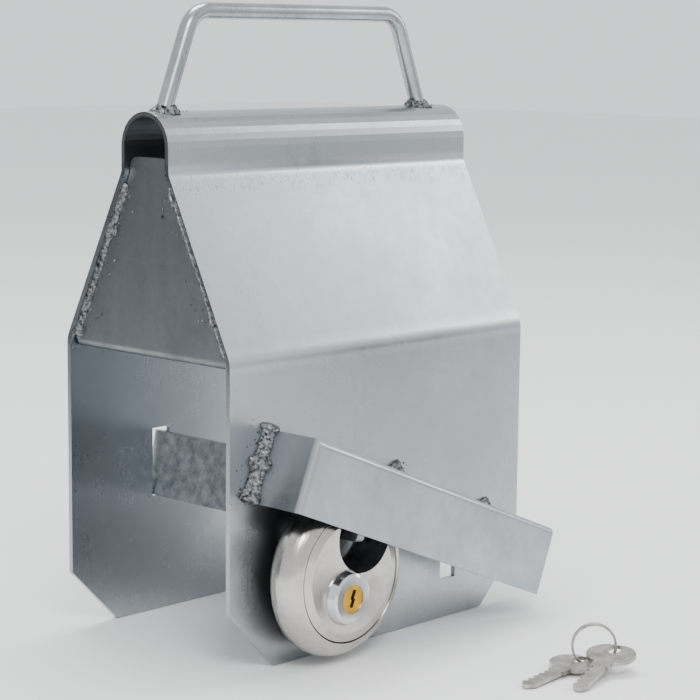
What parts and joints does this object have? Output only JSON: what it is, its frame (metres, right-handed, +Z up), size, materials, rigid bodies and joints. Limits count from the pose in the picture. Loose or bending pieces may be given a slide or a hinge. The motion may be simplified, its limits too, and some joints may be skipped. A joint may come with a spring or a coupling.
{
  "type": "trailer coupler lock",
  "caption": "Folded steel box lock for a trailer coupling: welded handle, locking bar through slots, disc padlock behind a welded guard, keys on a ring.",
  "frame": {"origin": "middle of the housing mouth, on the plane of the side panels' lower edges", "axes": "+Z up through the ridge, +X from the open front to the rear along the housing, padlock on the -Y panel"},
  "size_m": [0.209, 0.253, 0.311],
  "materials": {
    "zinc_sheet": "bright zinc plating, satin with faint streaks",
    "dark_plate": "dull mottled plating",
    "weld_metal": "rough weld bead under plating",
    "zinc_rod": "bright zinc plating, smooth",
    "zinc_guard": "bright zinc plating, satin",
    "bar_steel": "mottled zinc plating on rolled bar",
    "stainless_shell": "polished stainless steel",
    "chrome": "bright chrome",
    "inner_steel": "plain steel",
    "zinc_core": "die-cast zinc alloy",
    "brass": "turned brass",
    "nickel": "nickel plating, worn"
  },
  "bodies": {
    "housing": {"housing_shell": "zinc_sheet", "end_plate": "dark_plate", "end_weld_near": "weld_metal", "end_weld_far": "weld_metal", "carry_handle": "zinc_rod", "handle_welds": "weld_metal", "guard_cover": "zinc_guard", "guard_front_weld": "weld_metal", "guard_top_welds": "weld_metal"},
    "bar": {"locking_bar": "bar_steel"},
    "padlock": {"lock_back_shell": "stainless_shell", "lock_front_plate": "stainless_shell", "lock_boss": "chrome", "notch_liner": "inner_steel", "lock_core": "zinc_core", "drill_plate": "inner_steel", "guide_walls": "inner_steel", "shackle_socket": "inner_steel", "driver_pins": "brass", "pin_springs": "inner_steel", "chamber_cap": "brass"},
    "plug": {"lock_plug": "brass", "key_pins": "brass", "driver_cam": "inner_steel", "cam_clip": "inner_steel"},
    "shackle": {"shackle_rod": "chrome", "shackle_arm": "inner_steel"},
    "ring": {"split_ring": "nickel"},
    "key_front": {"key_front": "nickel"},
    "key_rear": {"key_rear": "nickel"}
  },
  "joints": [
    {"name": "bar_slide", "type": "slide", "parent": "housing", "child": "bar", "axis": [0, 1, 0], "range_m": [0, 0.0038]},
    {"name": "padlock_swing", "type": "hinge", "parent": "bar", "child": "padlock", "pos_m": [-0.0499, -0.074, 0.04345], "axis": [0, 1, 0], "range_deg": [-36, 4]},
    {"name": "plug_turn", "type": "hinge", "parent": "padlock", "child": "plug", "pos_m": [-0.05397, -0.074, 0.03431], "axis": [0, -1, 0], "range_deg": [0, 150]},
    {"name": "shackle_turn", "type": "hinge", "parent": "padlock", "child": "shackle", "pos_m": [-0.0499, -0.074, 0.04345], "axis": [0, -1, 0], "range_deg": [0, 83.1]},
    {"name": "ring_lift", "type": "slide", "parent": "housing", "child": "ring", "axis": [0, 0, 1], "range_m": [0, 0.05]},
    {"name": "key_front_lift", "type": "hinge", "parent": "ring", "child": "key_front", "pos_m": [0.03686, -0.1747, 0.00843], "axis": [-0.2334, 0.9724, 0], "range_deg": [0, 8]},
    {"name": "key_rear_lift", "type": "hinge", "parent": "ring", "child": "key_rear", "pos_m": [0.02534, -0.16261, 0.00333], "axis": [-0.0419, 0.9991, 0], "range_deg": [0, 3]}
  ],
  "couplings": [
    {"joint": "shackle_turn", "follows": "plug_turn", "ratio": 0.5532}
  ]
}
